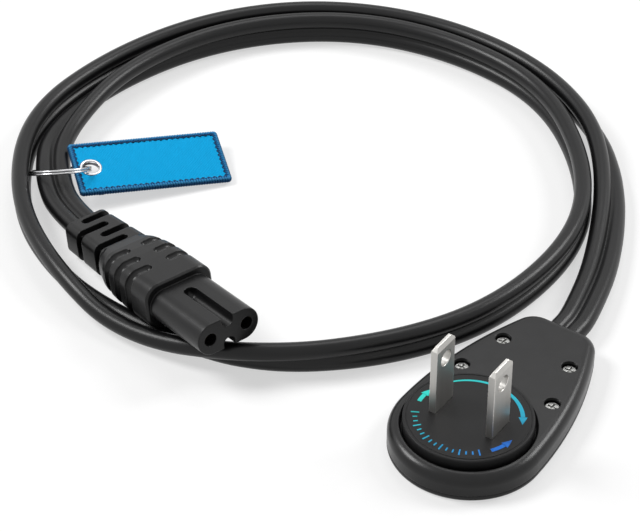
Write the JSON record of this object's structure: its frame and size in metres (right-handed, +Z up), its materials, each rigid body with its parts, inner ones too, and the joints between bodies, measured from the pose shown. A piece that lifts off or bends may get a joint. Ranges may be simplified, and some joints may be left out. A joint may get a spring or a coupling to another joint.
{
  "type": "flat low profile plug",
  "caption": "Flat low-profile power plug with two blades on a turning face, a short flat twin cord to a figure-eight appliance connector, and a woven tag on a split ring.",
  "frame": {"origin": "the turning axis of the blades, on the plug's back face, which lies on the floor", "axes": "+X along the housing towards the cord, +Y across it, +Z up along the blades"},
  "size_m": [0.1341, 0.1565, 0.0235],
  "materials": {
    "housing_plastic": "fine matt moulded, black",
    "disc_plastic": "fine matt moulded, black",
    "screw_steel": "bright plated",
    "contact_brass": "bare stamped",
    "nickel_blade": "nickel plated, satin",
    "copper_lead": "bare copper strand",
    "collar_metal": "bare crimped",
    "washer_nylon": "natural nylon",
    "cord_sheath": "satin flexible sheath, black",
    "connector_plastic": "fine matt moulded, black",
    "carrier_plastic": "plain moulded",
    "ring_steel": "bright wire",
    "tag_cloth": "woven, sky blue",
    "tag_edge_thread": "overlocked thread, darker blue"
  },
  "bodies": {
    "plug_and_cord": {"rear_cover": "housing_plastic", "front_cover": "housing_plastic", "housing_screws": "screw_steel", "outer_contact_spring": "contact_brass", "inner_contact_spring": "contact_brass", "plug_lead_outer": "copper_lead", "plug_lead_inner": "copper_lead", "cord_collar": "collar_metal", "pivot_washer": "washer_nylon", "power_cord": "cord_sheath", "connector_body": "connector_plastic", "contact_carrier": "carrier_plastic", "socket_contact_far": "contact_brass", "socket_contact_near": "contact_brass", "connector_lead_far": "copper_lead", "connector_lead_near": "copper_lead", "split_ring": "ring_steel", "tag_panel": "tag_cloth", "tag_border": "tag_edge_thread", "tag_eyelet": "ring_steel"},
    "rotor": {"rotor_disc": "disc_plastic", "inner_ring_blade": "nickel_blade", "outer_ring_blade": "nickel_blade", "inner_slip_ring": "contact_brass", "outer_slip_ring": "contact_brass", "inner_ring_rivet": "contact_brass", "outer_ring_rivet": "contact_brass"}
  },
  "joints": [
    {"name": "blade_turn", "type": "hinge", "parent": "plug_and_cord", "child": "rotor", "pos_m": [0, 0, 0], "axis": [0, 0, 1], "continuous": true}
  ]
}
